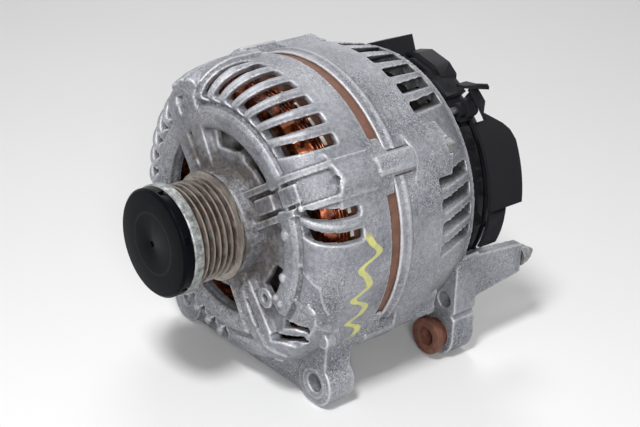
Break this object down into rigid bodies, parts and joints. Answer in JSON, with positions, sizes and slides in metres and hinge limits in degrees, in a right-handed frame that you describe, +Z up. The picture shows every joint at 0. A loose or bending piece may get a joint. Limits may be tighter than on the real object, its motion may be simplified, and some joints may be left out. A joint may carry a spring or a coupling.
{
  "type": "car alternator",
  "caption": "Belt-driven car alternator: freewheel pulley, slotted cast housings round a copper-wound stator, black rear cover, lugs and a harness arm",
  "frame": {"origin": "on the shaft's axis, in the middle of the belt grooves", "axes": "+Y along the shaft from the pulley to the rear cover, +Z up, +X towards the side with the harness arm"},
  "size_m": [0.158, 0.206, 0.1649],
  "materials": {
    "cast_aluminium": "cast, dull and grimy",
    "belt_steel": "turned steel with belt dust and light rust",
    "zinc_steel": "zinc-plated steel",
    "bearing_steel": "ground and polished steel",
    "yellow_zinc": "yellow-passivated sheet steel",
    "core_rust": "varnished sheet stack with rust",
    "iron": "forged iron, dull",
    "copper": "enamelled copper wire",
    "paper": "slot paper",
    "black_plastic": "black moulded plastic",
    "cap_plastic": "smooth black plastic cap",
    "carbon": "carbon brush",
    "diode_metal": "nickel-plated diode can",
    "plate_metal": "stamped plate"
  },
  "bodies": {
    "stator": {"front_bearing_outer": "bearing_steel", "bearing_retainer": "yellow_zinc", "retainer_screws": "zinc_steel", "front_housing": "cast_aluminium", "through_bolts": "zinc_steel", "stator_core": "core_rust", "stator_winding": "copper", "slot_liners": "paper", "stator_leads": "copper", "rear_bearing_outer": "bearing_steel", "rear_bearing_sleeve": "black_plastic", "rear_housing": "cast_aluminium", "negative_plate": "plate_metal", "positive_plate": "plate_metal", "negative_diodes": "diode_metal", "positive_diodes": "diode_metal", "terminal_ring": "black_plastic", "rectifier_screws": "zinc_steel", "regulator": "black_plastic", "regulator_screws": "zinc_steel", "connector_pins": "yellow_zinc", "brush_holder": "black_plastic", "front_brush_spring": "zinc_steel", "rear_brush_spring": "zinc_steel", "output_stud": "yellow_zinc", "output_insulator": "black_plastic", "output_washer": "zinc_steel", "output_nut": "zinc_steel", "rear_cover": "black_plastic", "cover_studs": "zinc_steel", "arm_stud": "zinc_steel", "arm_washer": "zinc_steel", "arm_nut": "zinc_steel"},
    "rotor": {"rotor_shaft": "zinc_steel", "pulley_hub": "zinc_steel", "clutch_rollers": "zinc_steel", "front_bearing_inner": "bearing_steel", "rear_bearing_inner": "bearing_steel", "rotor_core": "iron", "field_coil": "copper", "claw_pole_front": "iron", "claw_pole_rear": "iron", "front_fan": "zinc_steel", "rear_fan": "zinc_steel", "slip_rings": "copper", "slip_ring_sleeve": "black_plastic"},
    "pulley": {"pulley_ring": "belt_steel", "pulley_cap": "cap_plastic"},
    "front_balls": {"front_bearing_balls": "bearing_steel"},
    "rear_balls": {"rear_bearing_balls": "bearing_steel"},
    "front_brush_body": {"front_brush": "carbon"},
    "rear_brush_body": {"rear_brush": "carbon"},
    "bush": {"mounting_bush": "core_rust"}
  },
  "joints": [
    {"name": "rotor_spin", "type": "hinge", "parent": "stator", "child": "rotor", "pos_m": [0, 0.067, 0], "axis": [0, 1, 0], "continuous": true},
    {"name": "pulley_freewheel", "type": "hinge", "parent": "rotor", "child": "pulley", "pos_m": [0, 0, 0], "axis": [0, 1, 0], "continuous": true},
    {"name": "front_ball_orbit", "type": "hinge", "parent": "stator", "child": "front_balls", "pos_m": [0, 0.0234, 0], "axis": [0, 1, 0], "continuous": true},
    {"name": "rear_ball_orbit", "type": "hinge", "parent": "stator", "child": "rear_balls", "pos_m": [0, 0.1164, 0], "axis": [0, 1, 0], "continuous": true},
    {"name": "front_brush_slide", "type": "slide", "parent": "stator", "child": "front_brush_body", "axis": [0, 0, 1], "range_m": [0, 0.003], "stiffness_N_per_m": 150, "springref_m": -0.02, "deforming": ["front_brush_spring"]},
    {"name": "rear_brush_slide", "type": "slide", "parent": "stator", "child": "rear_brush_body", "axis": [0, 0, 1], "range_m": [0, 0.003], "stiffness_N_per_m": 150, "springref_m": -0.02, "deforming": ["rear_brush_spring"]},
    {"name": "bush_slide", "type": "slide", "parent": "stator", "child": "bush", "axis": [0, 1, 0], "range_m": [0, 0.003]}
  ],
  "couplings": [
    {"joint": "front_ball_orbit", "follows": "rotor_spin", "ratio": 0.3625},
    {"joint": "rear_ball_orbit", "follows": "rotor_spin", "ratio": 0.38}
  ]
}
